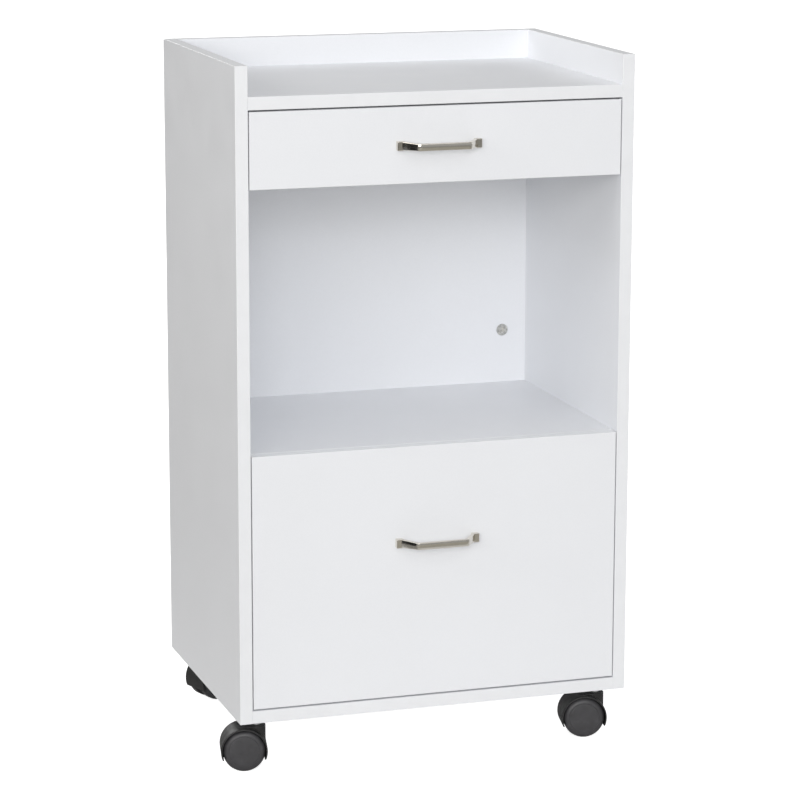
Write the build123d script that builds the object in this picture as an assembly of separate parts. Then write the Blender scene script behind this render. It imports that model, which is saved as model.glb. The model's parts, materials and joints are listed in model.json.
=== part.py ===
from build123d import *
import os

# Rolling pedestal cabinet: a melamine case on four swivel casters, with a tray top,
# a shallow drawer, an open niche and a deep drawer.
# Frame: +Z up, floor at z = 0, origin under the middle of the overall footprint.
# The front faces -Y and the cabinet's right-hand side is +X. Millimetres.

# ---------------------------------------------------------------- driving dimensions
BOARD = 15.0                # melamine-faced board
BAND = 1.0                  # edge banding
BAND_ROUND = 0.5            # rounded outer corners of the banding

CASE_WIDTH = 480.0
CASE_DEPTH = 335.0
CASE_HEIGHT = 766.5         # side panels, from their lower to their upper edge
TRAY_DEPTH = 35.0           # the gallery stands this far above the top panel
SHELF_TOP = 318.5           # above the case's lower edge
FRONT_GAP = 2.0             # above and below a drawer front
SIDE_GAP = 1.3              # beside a drawer front
UPPER_FRONT_HEIGHT = 88.0

HANDLE_HOLE_SPACING = 96.0
HANDLE_LENGTH = 102.0
HANDLE_BAR_LENGTH = 63.0    # straight front stretch
HANDLE_PROJECTION = 25.0
HANDLE_STRAP = 5.0          # thickness
HANDLE_BAR_HEIGHT = 8.6
HANDLE_CROWN = 0.5          # the strap's outer face bulges by this much
HANDLE_LEG_HEIGHT = 10.4    # the legs widen towards the feet
HANDLE_FOOT = (8.5, 6.0, 11.0)
HANDLE_BEND = 3.5           # bend radius on the strap's middle line
HANDLE_ROUND = 1.0          # rounded corners of its section
LOWER_HANDLE_Z = 204.0      # above the case's lower edge

CASTER_HEIGHT = 62.5        # floor to the underside of the case
CASTER_INSET_FRONT = 27.0   # front stems to the outer face of the side panel
CASTER_INSET_REAR = 32.0    # the same at the rear
CASTER_INSET_Y = 28.0       # stem to the front or rear edge
CASTER_TRAIL = 15.5         # stem to wheel axle
WHEEL_RADIUS = 25.0

# Direction in which each caster's wheels trail at rest, anticlockwise from +X seen from above.
CASTERS = {
    "front_left": (-1, -1, 168.0),
    "front_right": (1, -1, 168.0),
    "rear_left": (-1, 1, 20.0),
    "rear_right": (1, 1, 11.0),
}

DRAWER_TRAVEL = 230.0       # stroke of a drawer on its runners
RUNNER_LENGTH = 300.0
RUNNER_SPACE = 12.5         # between the case's side and the drawer's side

# ---------------------------------------------------------------- derived places
CASE_BASE = CASTER_HEIGHT
CASE_TOP = CASE_BASE + CASE_HEIGHT
CASE_FRONT = (HANDLE_PROJECTION - CASE_DEPTH) / 2
CASE_REAR = CASE_FRONT + CASE_DEPTH
OUTER_X = CASE_WIDTH / 2
INNER_X = OUTER_X - BOARD
BACK_Y = CASE_REAR - BOARD                      # inner face of the back panel
BOTTOM_TOP = CASE_BASE + BOARD
SHELF_Z = CASE_BASE + SHELF_TOP
TOP_Z = CASE_TOP - TRAY_DEPTH                   # upper face of the top panel

UPPER_FRONT_TOP = TOP_Z - BOARD - FRONT_GAP
UPPER_FRONT_BASE = UPPER_FRONT_TOP - UPPER_FRONT_HEIGHT
LOWER_FRONT_BASE = BOTTOM_TOP + FRONT_GAP
LOWER_FRONT_TOP = SHELF_Z
UPPER_HANDLE_Z = (UPPER_FRONT_BASE + UPPER_FRONT_TOP) / 2
LOWER_HANDLE = CASE_BASE + LOWER_HANDLE_Z
FRONT_HALF_WIDTH = INNER_X - SIDE_GAP

DRAWER_SIDE = 12.0                              # thickness of drawer sides and back
DRAWER_HALF_WIDTH = INNER_X - RUNNER_SPACE
DRAWER_BOTTOM = 4.0                             # thickness of the bottom panel
BOTTOM_GROOVE = 6.0                             # depth of the groove that holds it
BOTTOM_RAISE = 14.0                             # bottom panel above the sides' lower edge
BOX_FRONT = CASE_FRONT + BOARD
BOX_REAR = BOX_FRONT + RUNNER_LENGTH
UPPER_BOX_BASE = UPPER_FRONT_BASE + 10.0
UPPER_BOX_HEIGHT = 62.0
LOWER_BOX_BASE = LOWER_FRONT_BASE + 12.0
LOWER_BOX_HEIGHT = 240.0

parts = {}


# ---------------------------------------------------------------- helpers
def block(x_range, y_range, z_range):
    """A box between two planes on each axis."""
    size = [b - a for a, b in (x_range, y_range, z_range)]
    middle = [(a + b) / 2 for a, b in (x_range, y_range, z_range)]
    return Pos(*middle) * Box(*size)


def rod(radius, start, direction, length):
    """A cylinder from a start point along a direction."""
    plane = Plane(origin=start, z_dir=direction)
    return plane * Cylinder(radius, length, align=(Align.CENTER, Align.CENTER, Align.MIN))


def mirrored(solid):
    """The same piece on the other side of the cabinet."""
    return mirror(solid, about=Plane.YZ)


def add(name, *pieces):
    """Keep one sub-part: a single solid, or a group of separate solids."""
    solids = [s for piece in pieces for s in piece.solids()]
    parts[name] = solids[0] if len(solids) == 1 else Compound(children=solids)


def edge_strip(x_range, y_range, z_range, along, outer):
    """A strip of banding along one axis, with its outer corners rounded."""
    strip = block(x_range, y_range, z_range)
    axis, last = outer
    outer_edges = strip.edges().filter_by(along).group_by(axis)[-1 if last else 0]
    return fillet(outer_edges, BAND_ROUND)


# ---------------------------------------------------------------- case joints
CAM_RADIUS = 7.5
CAM_DEPTH = 12.0
CAM_INSET = 31.0            # cam centre to the joint
CAM_SUNK = 0.4              # the cam lies this far below the board's face
CAM_PLAY = 0.1              # round the cam in its pocket
CAM_CROSS = (7.6, 1.5, 2.6)     # length, width and depth of the cross slot
CAM_CENTRE = 1.7            # radius of the pit where the slots meet
CAM_MOUTH = (13.0, 6.4, 6.4)    # opening for the bolt's head
BOLT_THREAD_RADIUS = 2.5
BOLT_RADIUS = 3.0
BOLT_SHAFT = 24.0           # joint to the neck
BOLT_NECK = (1.8, 5.0)      # radius and length
BOLT_HEAD = 3.5             # length
BOLT_HOLE = 3.5             # radius of the hole in the board's edge
BOLT_THREAD = 11.0          # length screwed into the side panel
DOWEL_RADIUS = 4.0
DOWEL_CHAMFER = 0.8
DOWEL_IN_SIDE = 10.0
DOWEL_IN_BOARD = 20.0
CAM_Y = (CASE_FRONT + 60.0, CASE_FRONT + 265.0)
DOWEL_Y = (CASE_FRONT + 100.0, CASE_FRONT + 220.0)
CAM_Z = (CASE_BASE + 90.0, CASE_BASE + 385.8, CASE_BASE + 660.0)
DOWEL_Z = (CASE_BASE + 200.0, CASE_BASE + 500.0, CASE_BASE + 745.0)


def joint_places():
    """Every joint on the left side: (board, centre line point on the joint plane, cam face normal)."""
    middles = {
        "top_panel": TOP_Z - BOARD / 2,
        "middle_shelf": SHELF_Z - BOARD / 2,
        "bottom_panel": BOTTOM_TOP - BOARD / 2,
    }
    cams = []
    dowels = []
    for board, z in middles.items():
        cams += [(board, (-INNER_X, y, z), (0, 0, -1)) for y in CAM_Y]
        dowels += [(board, (-INNER_X, y, z)) for y in DOWEL_Y]
    back_middle = BACK_Y + BOARD / 2
    cams += [("back_panel", (-INNER_X, back_middle, z), (0, -1, 0)) for z in CAM_Z]
    dowels += [("back_panel", (-INNER_X, back_middle, z)) for z in DOWEL_Z]
    return cams, dowels


def cam_pocket(point, normal):
    """The round pocket for a cam lock, open at the board's face."""
    mouth = Vector(*point) + Vector(CAM_INSET, 0, 0) + Vector(*normal) * (BOARD / 2)
    return rod(CAM_RADIUS + CAM_PLAY, mouth, -Vector(*normal), CAM_DEPTH)


def cam_lock(point, normal):
    """A zinc cam with a cross slot in its face and a mouth for the bolt's head."""
    axis = Vector(*normal)
    centre = Vector(*point) + Vector(CAM_INSET, 0, 0)
    face = centre + axis * (BOARD / 2 - CAM_SUNK)
    cam = rod(CAM_RADIUS, face, -axis, CAM_DEPTH - CAM_SUNK)
    cam = chamfer(cam.edges().filter_by(GeomType.CIRCLE), CAM_SUNK)
    length, width, depth = CAM_CROSS
    plane = Plane(origin=face, z_dir=axis, x_dir=(1, 0, 0)) * Rot(0, 0, 45)
    slot = plane * (Box(length, width, 2 * depth) + Box(width, length, 2 * depth))
    pit = rod(CAM_CENTRE, face, -axis, depth)
    middle = Plane(origin=centre, z_dir=axis, x_dir=(1, 0, 0))
    bolt_mouth = middle * Pos(-BOLT_RADIUS, 0, 0) * Box(*CAM_MOUTH)
    return cam - slot - pit - bolt_mouth


def cam_bolt(point):
    """The bolt screwed into the side panel, with a neck and head for the cam."""
    x, y, z = point
    neck_radius, neck_length = BOLT_NECK
    neck_x = x + BOLT_SHAFT
    thread = rod(BOLT_THREAD_RADIUS, (x - BOLT_THREAD, y, z), (1, 0, 0), BOLT_THREAD)
    shaft = rod(BOLT_RADIUS, point, (1, 0, 0), BOLT_SHAFT)
    neck = rod(neck_radius, (neck_x, y, z), (1, 0, 0), neck_length)
    head = rod(BOLT_RADIUS, (neck_x + neck_length, y, z), (1, 0, 0), BOLT_HEAD)
    return thread + shaft + neck + head


def dowel(point):
    """A beech dowel across the joint."""
    x, y, z = point
    pin = rod(DOWEL_RADIUS, (x - DOWEL_IN_SIDE, y, z), (1, 0, 0), DOWEL_IN_SIDE + DOWEL_IN_BOARD)
    return chamfer(pin.edges().filter_by(GeomType.CIRCLE), DOWEL_CHAMFER)


def drill(panel, name, cams, dowels):
    """Cut the joint holes of a board, or of the left side panel."""
    for board, point, normal in cams:
        x, y, z = point
        if name == "side":
            panel -= rod(BOLT_THREAD_RADIUS, (x - BOLT_THREAD, y, z), (1, 0, 0), BOLT_THREAD)
        elif board == name:
            left = cam_pocket(point, normal) + rod(BOLT_HOLE, point, (1, 0, 0), CAM_INSET)
            panel -= left
            panel -= mirrored(left)
    for board, point in dowels:
        x, y, z = point
        if name == "side":
            panel -= rod(DOWEL_RADIUS, (x - DOWEL_IN_SIDE, y, z), (1, 0, 0), DOWEL_IN_SIDE)
        elif board == name:
            left = rod(DOWEL_RADIUS, point, (1, 0, 0), DOWEL_IN_BOARD)
            panel -= left
            panel -= mirrored(left)
    return panel


# ---------------------------------------------------------------- drawer runners
SHEET = 1.0                 # epoxy-coated steel sheet
PIN_RADIUS = 2.5
ROLLER_BORE = 2.55
FRONT_ROLLER_RADIUS = 9.0
REAR_ROLLER_RADIUS = 8.8
ROLLER_NEAR = 2.7           # roller faces, from the case's side
ROLLER_FAR = 9.2
FRONT_ROLLER_Z = 13.7       # above the drawer sides' lower edge
REAR_ROLLER_Z = 11.4
FRONT_ROLLER_Y = CASE_FRONT + 30.0
REAR_ROLLER_Y = BOX_REAR - 12.0
RUNNER_START = CASE_FRONT + 18.0
LIP_START = RUNNER_START + 26.0                 # upper lip starts behind the front roller
CHANNEL_LOW = 1.3           # outside of the channel, above the drawer sides' lower edge
CHANNEL_HIGH = 21.5
CHANNEL_REACH = 10.8        # lips, from the case's side
FLANGE_Z = 23.0             # underside of the drawer runner's flange
FLANGE_NEAR = 3.0           # its free edge, from the case's side
FOOT_WIDTH = 10.0           # of the leg under the drawer's side
SCREW_Y = (CASE_FRONT + 55.0, CASE_FRONT + 170.0, CASE_FRONT + 285.0)
SCREW_Z = REAR_ROLLER_Z
SCREW_RADIUS = 1.75
SCREW_LENGTH = 10.0         # under the head
SCREW_HEAD = (3.0, 0.6)     # radius and height
RIVET_HEAD = (3.5, 0.5)
ROLLER_PLAY = 0.3           # between a roller and its rivet's head
ROLLER_ROUND = 0.8


def from_side(near, far):
    """x range at a distance from the inner face of the left side panel."""
    return (-INNER_X + near, -INNER_X + far)


def cabinet_runner(base):
    """C channel screwed to the case's left side; its open side faces the drawer."""
    y_range = (RUNNER_START, RUNNER_START + RUNNER_LENGTH)
    web = block(from_side(0, SHEET), y_range, (base + CHANNEL_LOW, base + CHANNEL_HIGH))
    lower_lip = block(from_side(SHEET, CHANNEL_REACH), y_range, (base + CHANNEL_LOW, base + CHANNEL_LOW + SHEET))
    upper_y = (LIP_START, y_range[1])
    upper_z = (base + CHANNEL_HIGH - SHEET, base + CHANNEL_HIGH)
    runner = web + lower_lip + block(from_side(SHEET, CHANNEL_REACH), upper_y, upper_z)
    runner -= rod(PIN_RADIUS, (-INNER_X, FRONT_ROLLER_Y, base + FRONT_ROLLER_Z), (1, 0, 0), SHEET)
    for y in SCREW_Y:
        runner -= rod(SCREW_RADIUS, (-INNER_X, y, base + SCREW_Z), (1, 0, 0), SHEET)
    return runner


def drawer_runner(base):
    """Angle under the drawer's left side, with a flange that rides on the front roller."""
    y_range = (BOX_FRONT, BOX_REAR)
    outer = RUNNER_SPACE - SHEET
    web = block(from_side(outer, RUNNER_SPACE), y_range, (base - SHEET, base + FLANGE_Z + SHEET))
    foot = block(from_side(RUNNER_SPACE, RUNNER_SPACE + FOOT_WIDTH), y_range, (base - SHEET, base))
    flange = block(from_side(FLANGE_NEAR, outer), y_range, (base + FLANGE_Z, base + FLANGE_Z + SHEET))
    runner = web + foot + flange
    runner -= rod(PIN_RADIUS, (-INNER_X + outer, REAR_ROLLER_Y, base + REAR_ROLLER_Z), (1, 0, 0), SHEET)
    for y in SCREW_Y[:2]:
        runner -= rod(SCREW_RADIUS, (-INNER_X + outer, y, base + SCREW_Z), (1, 0, 0), SHEET)
    return runner


def roller(radius, y, z):
    """A nylon roller with rounded rims."""
    wheel = rod(radius, (-INNER_X + ROLLER_NEAR, y, z), (1, 0, 0), ROLLER_FAR - ROLLER_NEAR)
    wheel = fillet(wheel.edges().filter_by(GeomType.CIRCLE), ROLLER_ROUND)
    return wheel - rod(ROLLER_BORE, (-INNER_X, y, z), (1, 0, 0), RUNNER_SPACE)


def front_roller_pin(base):
    """Rivet in the cabinet runner: shank through the web, flat head past the roller."""
    z = base + FRONT_ROLLER_Z
    head_near = ROLLER_FAR + ROLLER_PLAY
    head_radius, head_height = RIVET_HEAD
    shank = rod(PIN_RADIUS, (-INNER_X, FRONT_ROLLER_Y, z), (1, 0, 0), head_near)
    return shank + rod(head_radius, (-INNER_X + head_near, FRONT_ROLLER_Y, z), (1, 0, 0), head_height)


def rear_roller_pin(base):
    """Rivet in the drawer runner, with its head towards the case's side."""
    z = base + REAR_ROLLER_Z
    head_far = ROLLER_NEAR - ROLLER_PLAY
    head_radius, head_height = RIVET_HEAD
    shank = rod(PIN_RADIUS, (-INNER_X + head_far, REAR_ROLLER_Y, z), (1, 0, 0), RUNNER_SPACE - head_far)
    head = rod(head_radius, (-INNER_X + head_far, REAR_ROLLER_Y, z), (-1, 0, 0), head_height)
    return shank + head


def sheet_screw(seat, direction):
    """A short flat-headed screw; the head's underside lies on the seat."""
    head_radius, head_height = SCREW_HEAD
    head = rod(head_radius, seat, -Vector(*direction), head_height)
    return head + rod(SCREW_RADIUS, seat, direction, SCREW_LENGTH)


# ---------------------------------------------------------------- casters
HOOD_OUTER = 27.5
HOOD_INNER = 25.9
HOOD_HALF_WIDTH = 20.0
HOOD_ROUND = 1.0            # rounded rims of the cover and the housing
HOOD_TIP = 10.0             # the hood's tips end this far below the axle
WEB_HALF = 6.0              # solid middle between the wheels
HOUSING_RADIUS = 10.5
HOUSING_TOP = 53.0
STEM_RADIUS = 3.5
STEM_BORE = 3.55
STEM_BASE = 29.0
COLLAR_RADIUS = 4.6
THREAD_RADIUS = 4.0
INSERT_RADIUS = 5.5
INSERT_DEPTH = 13.0
AXLE_RADIUS = 3.0
AXLE_HALF_LENGTH = 17.5
WHEEL_BORE = 3.05
WHEEL_INNER = 6.5           # wheel faces, from the caster's middle
WHEEL_OUTER = 20.4
WHEEL_CROWN = 0.5           # the outer face bulges by this much
WHEEL_DISC = 18.4           # radius of the raised outer face
WHEEL_LIP = 0.7             # the face's edge stands this far off the shoulder
WHEEL_SHOULDER = (22.9, 18.0)   # radius and distance from the middle, halfway round the shoulder
TREAD_EDGE = 14.0           # the shoulder meets the tread here, from the caster's middle
RIM_THICKNESS = 4.0
HUB_RADIUS = 6.5
FACE_THICKNESS = 3.0


def hood_body():
    """Arched cover, middle web and stem housing, with the stem on the origin's axis."""
    axle = (CASTER_TRAIL, -HOOD_HALF_WIDTH, WHEEL_RADIUS)
    cover = rod(HOOD_OUTER, axle, (0, 1, 0), 2 * HOOD_HALF_WIDTH)
    cover = fillet(cover.edges().filter_by(GeomType.CIRCLE), HOOD_ROUND)
    housing = rod(HOUSING_RADIUS, (0, 0, WHEEL_RADIUS - HOOD_TIP), (0, 0, 1), HOUSING_TOP - WHEEL_RADIUS + HOOD_TIP)
    shoulder = block((0, CASTER_TRAIL), (-HOUSING_RADIUS, HOUSING_RADIUS), (WHEEL_RADIUS, HOUSING_TOP))
    housing = housing + shoulder
    housing = fillet(housing.faces().sort_by(Axis.Z)[-1].edges(), HOOD_ROUND)
    body = cover + housing
    for side in (-1, 1):
        wheel_space = rod(HOOD_INNER, (CASTER_TRAIL, side * WEB_HALF, WHEEL_RADIUS), (0, side, 0), 2 * HOOD_HALF_WIDTH)
        body -= wheel_space
    reach = 2 * HOOD_OUTER
    body -= block((-reach, 2 * reach), (-reach, reach), (-reach, WHEEL_RADIUS - HOOD_TIP))
    body -= rod(STEM_BORE, (0, 0, STEM_BASE - 0.5), (0, 0, 1), HOUSING_TOP)
    body -= rod(AXLE_RADIUS, axle, (0, 1, 0), 2 * HOOD_HALF_WIDTH)
    return body


def wheel_body(side):
    """One of the twin wheels: raised disc and rounded shoulder outside, hollow behind, hub on the axle."""
    shoulder_top = WHEEL_OUTER - WHEEL_LIP
    with BuildPart() as wheel:
        with BuildSketch(Plane.XY):
            with BuildLine():
                face = ThreePointArc(
                    (0, WHEEL_OUTER + WHEEL_CROWN),
                    (WHEEL_DISC / 2, WHEEL_OUTER + WHEEL_CROWN * 0.75),
                    (WHEEL_DISC - 0.9, WHEEL_OUTER),
                )
                lip = ThreePointArc(
                    face @ 1,
                    (WHEEL_DISC - 0.26, WHEEL_OUTER - 0.22),
                    (WHEEL_DISC, shoulder_top),
                )
                shoulder = ThreePointArc(lip @ 1, WHEEL_SHOULDER, (WHEEL_RADIUS, TREAD_EDGE))
                Polyline(
                    shoulder @ 1,
                    (WHEEL_RADIUS, WHEEL_INNER + 0.8),
                    (WHEEL_RADIUS - 0.8, WHEEL_INNER),
                    (WHEEL_RADIUS - RIM_THICKNESS, WHEEL_INNER),
                    (WHEEL_RADIUS - RIM_THICKNESS - 0.5, TREAD_EDGE - 1.0),
                    (WHEEL_DISC - RIM_THICKNESS, WHEEL_OUTER - FACE_THICKNESS - 1.0),
                    (HUB_RADIUS + 0.5, WHEEL_OUTER - FACE_THICKNESS),
                    (HUB_RADIUS, WHEEL_INNER),
                    (WHEEL_BORE, WHEEL_INNER),
                    (WHEEL_BORE, AXLE_HALF_LENGTH + 0.5),
                    (0, AXLE_HALF_LENGTH + 0.5),
                    face @ 0,
                )
            make_face()
        revolve(axis=Axis.Y)
    turned = wheel.part if side > 0 else mirror(wheel.part, about=Plane.XZ)
    return Pos(CASTER_TRAIL, 0, WHEEL_RADIUS) * turned


def stem_and_insert():
    """Zinc-plated stem with its collar and thread, and the nut sunk in the bottom panel."""
    collar_base = HOUSING_TOP + 0.3
    pin = rod(STEM_RADIUS, (0, 0, STEM_BASE), (0, 0, 1), collar_base - STEM_BASE)
    collar = rod(COLLAR_RADIUS, (0, 0, collar_base), (0, 0, 1), CASTER_HEIGHT - collar_base)
    thread = rod(THREAD_RADIUS, (0, 0, CASTER_HEIGHT), (0, 0, 1), INSERT_DEPTH - 1.0)
    socket = rod(INSERT_RADIUS, (0, 0, CASTER_HEIGHT), (0, 0, 1), INSERT_DEPTH)
    nut = socket - rod(THREAD_RADIUS, (0, 0, CASTER_HEIGHT), (0, 0, 1), INSERT_DEPTH)
    return pin + collar + thread, nut, socket


def caster_place(side_x, side_y):
    """x and y of a caster's stem."""
    if side_y < 0:
        return side_x * (OUTER_X - CASTER_INSET_FRONT), CASE_FRONT + CASTER_INSET_Y
    return side_x * (OUTER_X - CASTER_INSET_REAR), CASE_REAR - CASTER_INSET_Y


def make_casters():
    """Four casters; returns the sockets to cut in the bottom panel."""
    stems = []
    nuts = []
    sockets = []
    for name, (side_x, side_y, heading) in CASTERS.items():
        x, y = caster_place(side_x, side_y)
        stem, nut, socket = (Pos(x, y, 0) * piece for piece in stem_and_insert())
        stems.append(stem)
        nuts.append(nut)
        sockets.append(socket)
        turn = Pos(x, y, 0) * Rot(0, 0, heading)
        axle = rod(AXLE_RADIUS, (CASTER_TRAIL, -AXLE_HALF_LENGTH, WHEEL_RADIUS), (0, 1, 0), 2 * AXLE_HALF_LENGTH)
        add(f"{name}_caster_hood", turn * hood_body())
        add(f"{name}_caster_axle", turn * axle)
        add(f"{name}_caster_wheel_a", turn * wheel_body(1))
        add(f"{name}_caster_wheel_b", turn * wheel_body(-1))
    add("caster_stems", *stems)
    add("caster_insert_nuts", *nuts)
    return sockets


# ---------------------------------------------------------------- case
def make_case(sockets):
    """Six boards, their banding, and the joint hardware."""
    cams, dowels = joint_places()
    inside = (-INNER_X, INNER_X)
    banded_front = CASE_FRONT + BAND
    banded_top = CASE_TOP - BAND

    side = block((-OUTER_X, -INNER_X), (banded_front, CASE_REAR), (CASE_BASE, banded_top))
    side = drill(side, "side", cams, dowels)
    for base in (UPPER_BOX_BASE, LOWER_BOX_BASE):
        for y in SCREW_Y:
            side -= rod(SCREW_RADIUS, (-INNER_X, y, base + SCREW_Z), (-1, 0, 0), SCREW_LENGTH - SHEET)
    add("left_side_panel", side)
    add("right_side_panel", mirrored(side))

    back = block(inside, (BACK_Y, CASE_REAR), (CASE_BASE, banded_top))
    add("back_panel", drill(back, "back_panel", cams, dowels))
    top = block(inside, (banded_front, BACK_Y), (TOP_Z - BOARD, TOP_Z))
    add("top_panel", drill(top, "top_panel", cams, dowels))
    shelf_front = BOX_FRONT + FRONT_GAP
    shelf = block(inside, (shelf_front + BAND, BACK_Y), (SHELF_Z - BOARD, SHELF_Z))
    add("middle_shelf", drill(shelf, "middle_shelf", cams, dowels))
    bottom = block(inside, (banded_front, BACK_Y), (CASE_BASE, BOTTOM_TOP))
    for socket in sockets:
        bottom -= socket
    add("bottom_panel", drill(bottom, "bottom_panel", cams, dowels))

    front_y = (CASE_FRONT, banded_front)
    top_z = (banded_top, CASE_TOP)
    front = (Axis.Y, False)
    upper = (Axis.Z, True)
    left = edge_strip((-OUTER_X, -INNER_X), front_y, (CASE_BASE, CASE_TOP), Axis.Z, front)
    left_top = edge_strip((-OUTER_X, -INNER_X), (banded_front, CASE_REAR), top_z, Axis.Y, upper)
    bands = [left, mirrored(left), left_top, mirrored(left_top)]
    bands.append(edge_strip(inside, (BACK_Y, CASE_REAR), top_z, Axis.X, upper))
    bands.append(edge_strip(inside, front_y, (TOP_Z - BOARD, TOP_Z), Axis.X, front))
    bands.append(edge_strip(inside, front_y, (CASE_BASE, BOTTOM_TOP), Axis.X, front))
    shelf_y = (shelf_front, shelf_front + BAND)
    bands.append(edge_strip(inside, shelf_y, (SHELF_Z - BOARD, SHELF_Z), Axis.X, front))
    add("edge_bands", *bands)

    left_cams = [cam_lock(point, normal) for _, point, normal in cams]
    left_bolts = [cam_bolt(point) for _, point, _ in cams]
    left_dowels = [dowel(point) for _, point in dowels]
    add("cam_locks", *left_cams, *[mirrored(piece) for piece in left_cams])
    add("cam_bolts", *left_bolts, *[mirrored(piece) for piece in left_bolts])
    add("wood_dowels", *left_dowels, *[mirrored(piece) for piece in left_dowels])

    screws = []
    pins = []
    for level, base in (("upper", UPPER_BOX_BASE), ("lower", LOWER_BOX_BASE)):
        runner = cabinet_runner(base)
        add(f"{level}_left_cabinet_runner", runner)
        add(f"{level}_right_cabinet_runner", mirrored(runner))
        pins.append(front_roller_pin(base))
        for y in SCREW_Y:
            screws.append(sheet_screw((-INNER_X + SHEET, y, base + SCREW_Z), (-1, 0, 0)))
        wheel = roller(FRONT_ROLLER_RADIUS, FRONT_ROLLER_Y, base + FRONT_ROLLER_Z)
        add(f"{level}_front_rollers", wheel, mirrored(wheel))
    add("cabinet_runner_screws", *screws, *[mirrored(piece) for piece in screws])
    add("cabinet_roller_pins", *pins, *[mirrored(piece) for piece in pins])


# ---------------------------------------------------------------- drawers
HANDLE_SCREW_RADIUS = 2.0
HANDLE_SCREW_DEPTH = 4.5    # into the handle's foot
HANDLE_SCREW_HEAD = (3.8, 2.4)
BACK_SCREW_LENGTH = 28.0
BACK_SCREW_PLACES = (0.3, 0.8)  # shares of the back's height
FRONT_DOWEL_RADIUS = 3.0
FRONT_DOWEL_LENGTH = 27.0
FRONT_DOWEL_DEPTH = 9.0     # into the drawer's front


def strap_section(height):
    """The strap's section: x is its thickness with the crowned face on the +x side, y its height."""
    flat = (HANDLE_STRAP - HANDLE_CROWN) / 2
    with BuildSketch() as section:
        with BuildLine():
            back = Polyline((flat, height / 2), (-flat, height / 2), (-flat, -height / 2), (flat, -height / 2))
            ThreePointArc(back @ 1, (flat + HANDLE_CROWN, 0), back @ 0)
        make_face()
        fillet(section.vertices(), HANDLE_ROUND)
    return section.sketch


def handle(z_middle):
    """Bow handle: a crowned strap with a straight bar and two legs that spread and widen to square feet."""
    bar_y = HANDLE_CROWN + (HANDLE_STRAP - HANDLE_CROWN) / 2 - HANDLE_PROJECTION
    bar_x = HANDLE_BAR_LENGTH / 2 - 1.3
    foot_width, foot_depth, foot_height = HANDLE_FOOT
    root_x = HANDLE_LENGTH / 2 - 4.6
    right = [(root_x, 0), (bar_x, bar_y)]
    path = FilletPolyline(*right, *[(-x, y) for x, y in reversed(right)], radius=HANDLE_BEND)
    along = path % 0
    start = Plane(origin=path @ 0, z_dir=along, x_dir=Vector(0, 0, 1).cross(along))
    strap = sweep(start * strap_section(HANDLE_BAR_HEIGHT), path=path)

    leg_length = Vector(root_x - bar_x, -bar_y).length - HANDLE_BEND
    leg_end = Plane(origin=path @ 0 + along * leg_length, z_dir=along, x_dir=start.x_dir)
    leg = loft([start * strap_section(HANDLE_LEG_HEIGHT), leg_end * strap_section(HANDLE_BAR_HEIGHT + 0.05)])

    foot_x = HANDLE_LENGTH / 2
    foot = block((foot_x - foot_width, foot_x), (-foot_depth, foot_depth), (-foot_height / 2, foot_height / 2))
    foot = fillet(foot.edges(), HANDLE_ROUND)
    body = strap + leg + mirrored(leg) + foot + mirrored(foot)
    body -= block((-HANDLE_LENGTH, HANDLE_LENGTH), (0, HANDLE_PROJECTION), (-HANDLE_LENGTH, HANDLE_LENGTH))
    for x in (-HANDLE_HOLE_SPACING / 2, HANDLE_HOLE_SPACING / 2):
        body -= rod(HANDLE_SCREW_RADIUS, (x, 0, 0), (0, -1, 0), HANDLE_SCREW_DEPTH)
    return Pos(0, CASE_FRONT, z_middle) * body


def front_bands(z_low, z_high):
    """Banding round all four edges of a drawer front."""
    y_range = (CASE_FRONT, BOX_FRONT)
    width = (-FRONT_HALF_WIDTH, FRONT_HALF_WIDTH)
    upper = edge_strip(width, y_range, (z_high - BAND, z_high), Axis.X, (Axis.Z, True))
    lower = edge_strip(width, y_range, (z_low, z_low + BAND), Axis.X, (Axis.Z, False))
    left_x = (-FRONT_HALF_WIDTH, -FRONT_HALF_WIDTH + BAND)
    left = edge_strip(left_x, y_range, (z_low + BAND, z_high - BAND), Axis.Z, (Axis.X, False))
    return upper, lower, left, mirrored(left)


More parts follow.
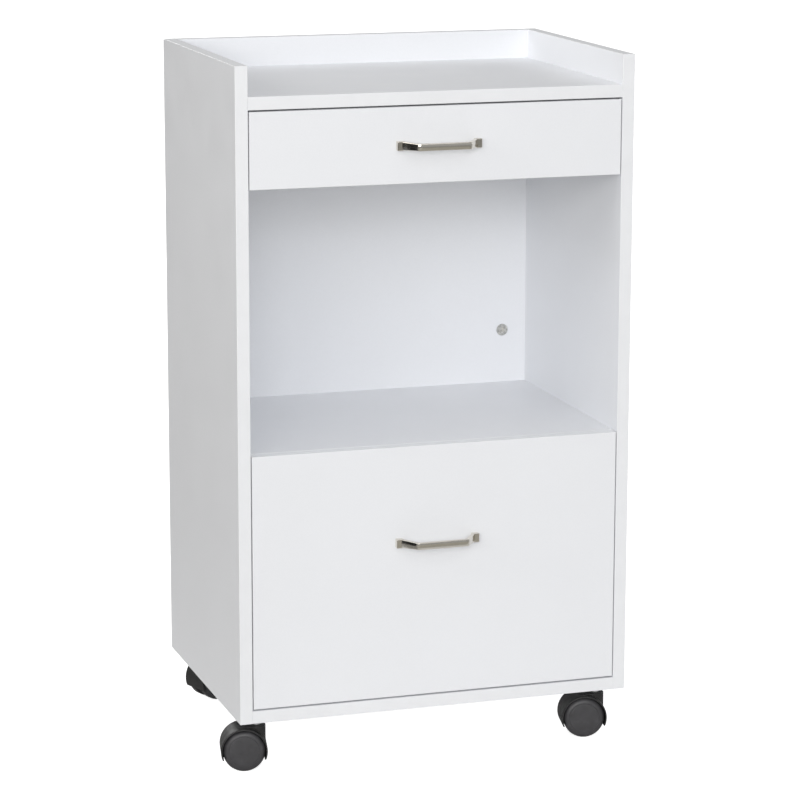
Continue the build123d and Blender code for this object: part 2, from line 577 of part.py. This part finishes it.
def make_drawer(level, z_low, z_high, base, height, handle_z):
    """A drawer: banded front, box, handle, and its half of the runners."""
    width = (-FRONT_HALF_WIDTH + BAND, FRONT_HALF_WIDTH - BAND)
    front = block(width, (CASE_FRONT, BOX_FRONT), (z_low + BAND, z_high - BAND))
    bottom_z = (base + BOTTOM_RAISE, base + BOTTOM_RAISE + DRAWER_BOTTOM)
    inner_half = DRAWER_HALF_WIDTH - DRAWER_SIDE
    groove_half = inner_half + BOTTOM_GROOVE
    bottom = block((-groove_half, groove_half), (BOX_FRONT - BOTTOM_GROOVE, BOX_REAR), bottom_z)
    side = block((-DRAWER_HALF_WIDTH, -inner_half), (BOX_FRONT, BOX_REAR), (base, base + height)) - bottom
    back_z = (bottom_z[1], base + height)
    back = block((-inner_half, inner_half), (BOX_REAR - DRAWER_SIDE, BOX_REAR), back_z)
    front -= bottom

    fasteners = []
    for x in (-HANDLE_HOLE_SPACING / 2, HANDLE_HOLE_SPACING / 2):
        inside_face = (x, BOX_FRONT, handle_z)
        shank = rod(HANDLE_SCREW_RADIUS, inside_face, (0, -1, 0), BOARD + HANDLE_SCREW_DEPTH)
        head_radius, head_height = HANDLE_SCREW_HEAD
        head = rod(head_radius, inside_face, (0, 1, 0), head_height)
        front -= shank
        fasteners.append(shank + head)
    for share in BACK_SCREW_PLACES:
        z = bottom_z[1] + share * (back_z[1] - back_z[0])
        start = (-DRAWER_HALF_WIDTH, BOX_REAR - DRAWER_SIDE / 2, z)
        screw = rod(SCREW_RADIUS, start, (1, 0, 0), BACK_SCREW_LENGTH)
        side -= screw
        back -= screw
        back -= mirrored(screw)
        fasteners += [screw, mirrored(screw)]
        dowel_start = (-DRAWER_HALF_WIDTH + DRAWER_SIDE / 2, BOX_FRONT - FRONT_DOWEL_DEPTH, z)
        front_dowel = rod(FRONT_DOWEL_RADIUS, dowel_start, (0, 1, 0), FRONT_DOWEL_LENGTH)
        front -= front_dowel
        front -= mirrored(front_dowel)
        side -= front_dowel
        fasteners += [front_dowel, mirrored(front_dowel)]
    for y in SCREW_Y[:2]:
        screw = sheet_screw((-INNER_X + RUNNER_SPACE - SHEET, y, base + SCREW_Z), (1, 0, 0))
        side -= screw
        fasteners += [screw, mirrored(screw)]

    runner = drawer_runner(base)
    pin = rear_roller_pin(base)
    wheel = roller(REAR_ROLLER_RADIUS, REAR_ROLLER_Y, base + REAR_ROLLER_Z)
    add(f"{level}_drawer_front", front)
    add(f"{level}_drawer_edge_bands", *front_bands(z_low, z_high))
    add(f"{level}_drawer_left_side", side)
    add(f"{level}_drawer_right_side", mirrored(side))
    add(f"{level}_drawer_back", back)
    add(f"{level}_drawer_bottom", bottom)
    add(f"{level}_handle", handle(handle_z))
    add(f"{level}_drawer_fasteners", *fasteners)
    add(f"{level}_left_drawer_runner", runner)
    add(f"{level}_right_drawer_runner", mirrored(runner))
    add(f"{level}_drawer_roller_pins", pin, mirrored(pin))
    add(f"{level}_rear_rollers", wheel, mirrored(wheel))


# ---------------------------------------------------------------- build and export
make_case(make_casters())
make_drawer("upper", UPPER_FRONT_BASE, UPPER_FRONT_TOP, UPPER_BOX_BASE, UPPER_BOX_HEIGHT, UPPER_HANDLE_Z)
make_drawer("lower", LOWER_FRONT_BASE, LOWER_FRONT_TOP, LOWER_BOX_BASE, LOWER_BOX_HEIGHT, LOWER_HANDLE)

os.makedirs("parts", exist_ok=True)
for name, shape in parts.items():
    export_step(shape, f"parts/{name}.step")
print(len(parts), "sub-parts")
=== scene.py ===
import json
from math import radians

import bpy
from mathutils import Matrix, Vector

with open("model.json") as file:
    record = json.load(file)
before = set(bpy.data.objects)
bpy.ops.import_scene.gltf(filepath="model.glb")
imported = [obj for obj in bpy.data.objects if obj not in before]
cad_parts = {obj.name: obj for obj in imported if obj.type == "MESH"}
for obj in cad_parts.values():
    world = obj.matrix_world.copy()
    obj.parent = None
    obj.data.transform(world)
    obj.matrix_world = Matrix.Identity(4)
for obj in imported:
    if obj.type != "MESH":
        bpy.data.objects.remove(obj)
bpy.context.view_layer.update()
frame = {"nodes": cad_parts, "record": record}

nodes = frame["nodes"]

# ---------------------------------------------------------------- places and sizes
CAMERA_PLACE = (-1.1339, -3.5274, 1.1935)
CAMERA_TURN = radians(17.883)       # from +Y towards +X
CAMERA_DOWN = radians(12.05)
CAMERA_ROLL = radians(0.112)
CAMERA_LENS = 140.9

FLOOR_RADIUS = 40.0
WARM = (1.0, 0.98, 0.945)
COOL = (0.88, 0.92, 1.0)
NEUTRAL = (1.0, 1.0, 1.0)


# ---------------------------------------------------------------- material helpers
class Shader:
    """A Principled material with short calls for adding and joining nodes."""

    def __init__(self, name, colour, roughness, metallic=0.0, **values):
        self.material = bpy.data.materials.new(name)
        self.material.use_nodes = True
        self.tree = self.material.node_tree
        self.principled = self.tree.nodes["Principled BSDF"]
        self.material.diffuse_color = (*colour, 1.0)
        self.set("Base Color", (*colour, 1.0))
        self.set("Roughness", roughness)
        self.set("Metallic", metallic)
        for socket, value in values.items():
            self.set(socket.replace("_", " "), value)
        coordinates = self.tree.nodes.new("ShaderNodeTexCoord")
        self.place = coordinates.outputs["Object"]

    def set(self, socket, value):
        self.principled.inputs[socket].default_value = value

    def join(self, output, socket):
        self.tree.links.new(output, self.principled.inputs[socket])

    def node(self, kind, inputs=None, **settings):
        made = self.tree.nodes.new(kind)
        for key, value in settings.items():
            setattr(made, key, value)
        for key, value in (inputs or {}).items():
            if hasattr(value, "is_output"):
                self.tree.links.new(value, made.inputs[key])
            else:
                made.inputs[key].default_value = value
        return made

    def stretched(self, scale):
        """Object coordinates scaled unevenly, for grain and brush lines."""
        return self.node("ShaderNodeMapping", {"Vector": self.place, "Scale": scale}).outputs["Vector"]

    def noise(self, size, detail=3.0, place=None, roughness=0.5):
        """Noise whose features are about `size` metres across."""
        inputs = {
            "Vector": place or self.place,
            "Scale": 1.0 / size,
            "Detail": detail,
            "Roughness": roughness,
        }
        return self.node("ShaderNodeTexNoise", inputs).outputs["Fac"]

    def ramp(self, factor, stops):
        """A colour ramp from (position, colour) stops."""
        made = self.node("ShaderNodeValToRGB", {"Fac": factor})
        elements = made.color_ramp.elements
        while len(elements) < len(stops):
            elements.new(0.5)
        for element, (position, colour) in zip(elements, stops):
            element.position = position
            element.color = (*colour, 1.0)
        return made.outputs["Color"]

    def span(self, factor, low, high, from_low=0.3, from_high=0.7):
        """Remap a factor to a range of values."""
        inputs = {
            "Value": factor,
            "From Min": from_low,
            "From Max": from_high,
            "To Min": low,
            "To Max": high,
        }
        return self.node("ShaderNodeMapRange", inputs).outputs["Result"]

    def mix(self, factor, first, second):
        """Blend two colours by a fixed share; 6, 7 and 2 are the Mix node's colour sockets."""
        made = self.node("ShaderNodeMix", {0: factor, 6: first, 7: second}, data_type="RGBA")
        return made.outputs[2]

    def add(self, first, second, share=1.0):
        """first + share * second, for stacking bump heights."""
        inputs = {0: second, 1: share, 2: first}
        return self.node("ShaderNodeMath", inputs, operation="MULTIPLY_ADD").outputs["Value"]

    def bump(self, height, depth):
        """Bump of about `depth` metres."""
        made = self.node("ShaderNodeBump", {"Height": height, "Distance": depth, "Strength": 1.0})
        self.join(made.outputs["Normal"], "Normal")


def shade(colour, factor):
    """A colour made lighter or darker."""
    return tuple(channel * factor for channel in colour)


# ---------------------------------------------------------------- materials
def melamine(name, colour, roughness=0.42):
    """White decor paper under a fine pearl-textured resin surface, with faint clouding."""
    surface = Shader(name, colour, roughness, Specular_IOR_Level=0.45)
    cloud = surface.noise(0.16, 4.0)
    fibre = surface.noise(0.0021, 4.0)
    tone = surface.ramp(cloud, [(0.3, shade(colour, 0.985)), (0.7, shade(colour, 1.012))])
    speck = surface.ramp(fibre, [(0.35, shade(colour, 0.985)), (0.65, shade(colour, 1.01))])
    surface.join(surface.mix(0.5, tone, speck), "Base Color")
    pearl = surface.noise(0.0007, 2.0)
    handling = surface.noise(0.05, 5.0)
    surface.join(surface.span(handling, roughness - 0.05, roughness + 0.08), "Roughness")
    surface.bump(surface.add(pearl, surface.noise(0.004, 2.0), 0.6), 0.00002)
    return surface.material


def edge_banding(name, colour):
    """Smooth ABS strip, a touch brighter than the faces, with faint scraper lines."""
    surface = Shader(name, colour, 0.36, Specular_IOR_Level=0.5)
    mottle = surface.noise(0.03, 4.0)
    tone = surface.ramp(mottle, [(0.3, shade(colour, 0.985)), (0.7, shade(colour, 1.01))])
    surface.join(tone, "Base Color")
    surface.join(surface.span(surface.noise(0.012, 4.0), 0.3, 0.44), "Roughness")
    surface.bump(surface.add(surface.noise(0.0012, 3.0), surface.noise(0.006, 2.0), 0.5), 0.000015)
    return surface.material


def printed_board(name, colour):
    """Thin hardboard with a printed white face: soft fibre mottling under the lacquer."""
    surface = Shader(name, colour, 0.5)
    fibre = surface.noise(0.0035, 6.0, roughness=0.65)
    cloud = surface.noise(0.07, 3.0)
    tone = surface.ramp(fibre, [(0.3, shade(colour, 0.94)), (0.7, shade(colour, 1.04))])
    wash = surface.ramp(cloud, [(0.3, shade(colour, 0.97)), (0.7, shade(colour, 1.02))])
    surface.join(surface.mix(0.5, tone, wash), "Base Color")
    surface.join(surface.span(cloud, 0.42, 0.58), "Roughness")
    surface.bump(fibre, 0.00006)
    return surface.material


def polished_nickel(name, colour):
    """Bright plated zinc with a slightly uneven polish and faint wipe marks along the bar."""
    surface = Shader(name, colour, 0.1, metallic=1.0)
    wipe = surface.noise(0.001, 4.0, surface.stretched((0.08, 1.0, 1.0)))
    haze = surface.noise(0.012, 5.0)
    tone = surface.ramp(haze, [(0.3, shade(colour, 0.97)), (0.7, shade(colour, 1.03))])
    surface.join(tone, "Base Color")
    surface.join(surface.span(surface.add(haze, wipe, 0.5), 0.06, 0.16, 0.5, 1.0), "Roughness")
    surface.bump(surface.add(wipe, haze, 0.4), 0.000004)
    return surface.material


def zinc(name, colour, roughness, spangle, depth, dark=0.86):
    """Plated or cast zinc, mottled and slightly cloudy; `dark` is the tone of its darkest grains."""
    surface = Shader(name, colour, roughness, metallic=1.0)
    grain = surface.noise(spangle, 5.0, roughness=0.6)
    cloud = surface.noise(spangle * 8, 3.0)
    tone = surface.ramp(grain, [(0.3, shade(colour, dark)), (0.7, shade(colour, 1.08))])
    surface.join(tone, "Base Color")
    surface.join(surface.span(cloud, roughness - 0.08, roughness + 0.12), "Roughness")
    surface.bump(grain, depth)
    return surface.material


def enamel(name, colour):
    """Powder-coated steel: a low orange-peel surface with rub marks where the rollers run."""
    surface = Shader(name, colour, 0.34, Coat_Weight=0.15, Coat_Roughness=0.2)
    peel = surface.noise(0.0016, 2.0)
    rub = surface.noise(0.003, 4.0, surface.stretched((1.0, 0.04, 1.0)))
    tone = surface.ramp(rub, [(0.35, shade(colour, 0.94)), (0.6, colour)])
    surface.join(tone, "Base Color")
    surface.join(surface.span(rub, 0.26, 0.42), "Roughness")
    surface.bump(peel, 0.00005)
    return surface.material


def moulded(name, colour, roughness, spark, depth, wear=1.25):
    """Moulded nylon: fine spark texture from the tool, cloudier and paler where it is handled."""
    surface = Shader(name, colour, roughness, Specular_IOR_Level=0.5)
    grain = surface.noise(spark, 3.0)
    cloud = surface.noise(0.009, 5.0)
    tone = surface.ramp(cloud, [(0.32, shade(colour, 0.86)), (0.58, colour), (0.74, shade(colour, wear))])
    surface.join(tone, "Base Color")
    surface.join(surface.span(cloud, roughness - 0.06, roughness + 0.1), "Roughness")
    surface.bump(grain, depth)
    return surface.material


def dowel_wood(name, colour):
    """Raw beech: pores and pale rays along the dowel."""
    surface = Shader(name, colour, 0.6)
    ring = surface.noise(0.0012, 5.0, surface.stretched((0.08, 1.0, 1.0)))
    tone = surface.ramp(ring, [(0.3, shade(colour, 0.72)), (0.5, colour), (0.7, shade(colour, 1.15))])
    surface.join(tone, "Base Color")
    surface.join(surface.span(ring, 0.5, 0.72), "Roughness")
    surface.bump(ring, 0.00012)
    return surface.material


MELAMINE = (0.868, 0.882, 0.912)
BANDING = (0.875, 0.888, 0.912)

looks = {
    "white_melamine": melamine("white_melamine_board", MELAMINE),
    "white_edge_band": edge_banding("white_edge_banding", BANDING),
    "drawer_board": melamine("drawer_box_foil", (0.80, 0.80, 0.79), 0.36),
    "hardboard": printed_board("drawer_bottom_board", (0.76, 0.74, 0.70)),
    "handle_nickel": polished_nickel("polished_nickel_plate", (0.74, 0.71, 0.65)),
    "zinc_plate": zinc("bright_zinc_plate", (0.86, 0.87, 0.88), 0.52, 0.0012, 0.00001),
    "cam_zinc": zinc("cast_zinc_cam", (0.84, 0.83, 0.79), 0.36, 0.0028, 0.00012, 0.42),
    "runner_enamel": enamel("white_runner_enamel", (0.80, 0.80, 0.78)),
    "roller_nylon": moulded("white_roller_nylon", (0.72, 0.71, 0.67), 0.4, 0.0006, 0.00002, 1.06),
    "beech": dowel_wood("beech_dowel", (0.58, 0.40, 0.24)),
    "caster_hood_nylon": moulded("black_hood_nylon", (0.015, 0.015, 0.015), 0.50, 0.0005, 0.00004),
    "caster_wheel_nylon": moulded("grey_wheel_nylon", (0.050, 0.049, 0.053), 0.40, 0.0006, 0.00003),
}

slots = {entry["node"]: entry["material_slot"] for entry in frame["record"]["subparts"]}
for name, node in nodes.items():
    for slot in node.material_slots:
        slot.material = looks[slots[name]]


# ---------------------------------------------------------------- stage
def disc(name, radius, count):
    """A flat many-sided disc on the floor, linked into the scene."""
    mesh = bpy.data.meshes.new(name)
    start = Vector((radius, 0, 0))
    rim = [Matrix.Rotation(radians(360 * i / count), 3, "Z") @ start for i in range(count)]
    mesh.from_pydata([tuple(point) for point in rim], [], [tuple(range(count))])
    made = bpy.data.objects.new(name, mesh)
    bpy.context.scene.collection.objects.link(made)
    return made


def area_light(name, place, target, size, power, colour):
    """A rectangular softbox aimed at a point, out of the camera's sight."""
    data = bpy.data.lights.new(name, "AREA")
    data.shape = "RECTANGLE"
    data.size, data.size_y = size
    data.energy = power
    data.color = colour
    made = bpy.data.objects.new(name, data)
    made.location = place
    aim = Vector(target) - Vector(place)
    made.rotation_euler = aim.to_track_quat("-Z", "Y").to_euler()
    made.visible_camera = False
    bpy.context.scene.collection.objects.link(made)


def seen_floor():
    """The white floor that the camera sees; it lights nothing."""
    floor = disc("floor", FLOOR_RADIUS, 96)
    pale = Shader("pale_floor", (0.86, 0.86, 0.86), 0.7)
    clouding = pale.noise(0.4, 4.0)
    tone = pale.ramp(clouding, [(0.3, (0.855, 0.855, 0.855)), (0.7, (0.865, 0.865, 0.865))])
    pale.join(tone, "Base Color")
    distance = pale.node("ShaderNodeVectorMath", {0: pale.place}, operation="LENGTH").outputs["Value"]
    glow = pale.span(distance, 0.80, 1.05, 0.6, 3.0)
    pale.set("Emission Color", (1.0, 1.0, 1.0, 1.0))
    pale.join(glow, "Emission Strength")
    floor.data.materials.append(pale.material)
    floor.visible_diffuse = False
    floor.visible_glossy = False
    floor.visible_shadow = False


def bounce_floor():
    """An unseen floor just below the first, for the bounce light: pale in front, darker on the left."""
    floor = disc("bounce_floor", FLOOR_RADIUS, 96)
    floor.location = (0, 0, -0.0005)
    grey = Shader("bounce_grey", (0.8, 0.795, 0.785), 0.8)
    across = grey.node("ShaderNodeSeparateXYZ", {0: grey.place}).outputs["X"]
    share = grey.span(across, 0.0, 1.0, -0.55, -0.15)
    tone = grey.ramp(share, [(0.0, (0.24, 0.235, 0.225)), (1.0, (0.70, 0.695, 0.69))])
    grey.join(tone, "Base Color")
    floor.data.materials.append(grey.material)
    floor.visible_camera = False


def flag(name, place, target, size, colour):
    """A matt card that shows only in reflections."""
    mesh = bpy.data.meshes.new(name)
    x, y = size[0] / 2, size[1] / 2
    mesh.from_pydata([(-x, -y, 0), (x, -y, 0), (x, y, 0), (-x, y, 0)], [], [(0, 1, 2, 3)])
    card = bpy.data.objects.new(name, mesh)
    card.location = place
    card.rotation_euler = (Vector(target) - Vector(place)).to_track_quat("Z", "Y").to_euler()
    cloth = Shader(name, colour, 0.9)
    weave = cloth.noise(0.02, 4.0)
    cloth.join(cloth.ramp(weave, [(0.3, shade(colour, 0.8)), (0.7, shade(colour, 1.2))]), "Base Color")
    mesh.materials.append(cloth.material)
    card.visible_camera = False
    card.visible_diffuse = False
    card.visible_shadow = False
    bpy.context.scene.collection.objects.link(card)


seen_floor()
bounce_floor()
flag("black_flag", (-1.4, -0.12, 0.55), (0, -0.12, 0.55), (1.0, 1.1), (0.012, 0.012, 0.012))
flag("khaki_card", (1.3, -3.2, 0.002), (1.3, -3.2, 1.0), (4.4, 5.0), (0.40, 0.385, 0.345))

world = bpy.data.worlds.new("studio")
bpy.context.scene.world = world
world.use_nodes = True
world.node_tree.nodes["Background"].inputs["Color"].default_value = (1.0, 1.0, 1.0, 1.0)
world.node_tree.nodes["Background"].inputs["Strength"].default_value = 0.42

# name, place, aim, size, power, colour
SOFTBOXES = [
    ("camera_softbox", (-1.2, -4.6, 1.6), (0, 0, 0.5), (1.8, 1.4), 61.0, NEUTRAL),
    ("left_front_softbox", (-2.7, -3.3, 1.5), (0, 0, 0.5), (1.8, 1.4), 36.0, WARM),
    ("overhead_softbox", (0.0, -0.2, 3.4), (0, 0, 0.8), (2.6, 2.6), 6.0, NEUTRAL),
    ("high_front_softbox", (0.2, -3.3, 2.8), (0, 0, 0.42), (2.2, 1.6), 15.0, NEUTRAL),
    ("left_softbox", (-3.8, -0.6, 2.4), (0, 0, 0.8), (2.0, 1.6), 38.0, WARM),
    ("niche_fill", (-0.05, -0.04, 0.605), (-0.05, -0.04, 0.3), (0.34, 0.12), 0.075, COOL),
    ("right_fill", (4.4, 1.0, 1.6), (0.2, 0, 0.4), (2.0, 1.6), 30.0, NEUTRAL),
    ("rear_fill", (-0.8, 4.8, 1.8), (0, 0.15, 0.4), (2.0, 1.6), 34.0, NEUTRAL),
]
for softbox in SOFTBOXES:
    area_light(*softbox)

camera_data = bpy.data.cameras.new("camera")
camera_data.sensor_width = 36.0
camera_data.lens = CAMERA_LENS
camera_data.clip_end = 200.0
camera = bpy.data.objects.new("camera", camera_data)
turn = Matrix.Rotation(-CAMERA_TURN, 4, "Z") @ Matrix.Rotation(radians(90) - CAMERA_DOWN, 4, "X")
camera.matrix_world = Matrix.Translation(CAMERA_PLACE) @ turn @ Matrix.Rotation(CAMERA_ROLL, 4, "Z")
bpy.context.scene.collection.objects.link(camera)
bpy.context.scene.camera = camera

view = bpy.context.scene.view_settings
view.view_transform = "Standard"
view.look = "None"
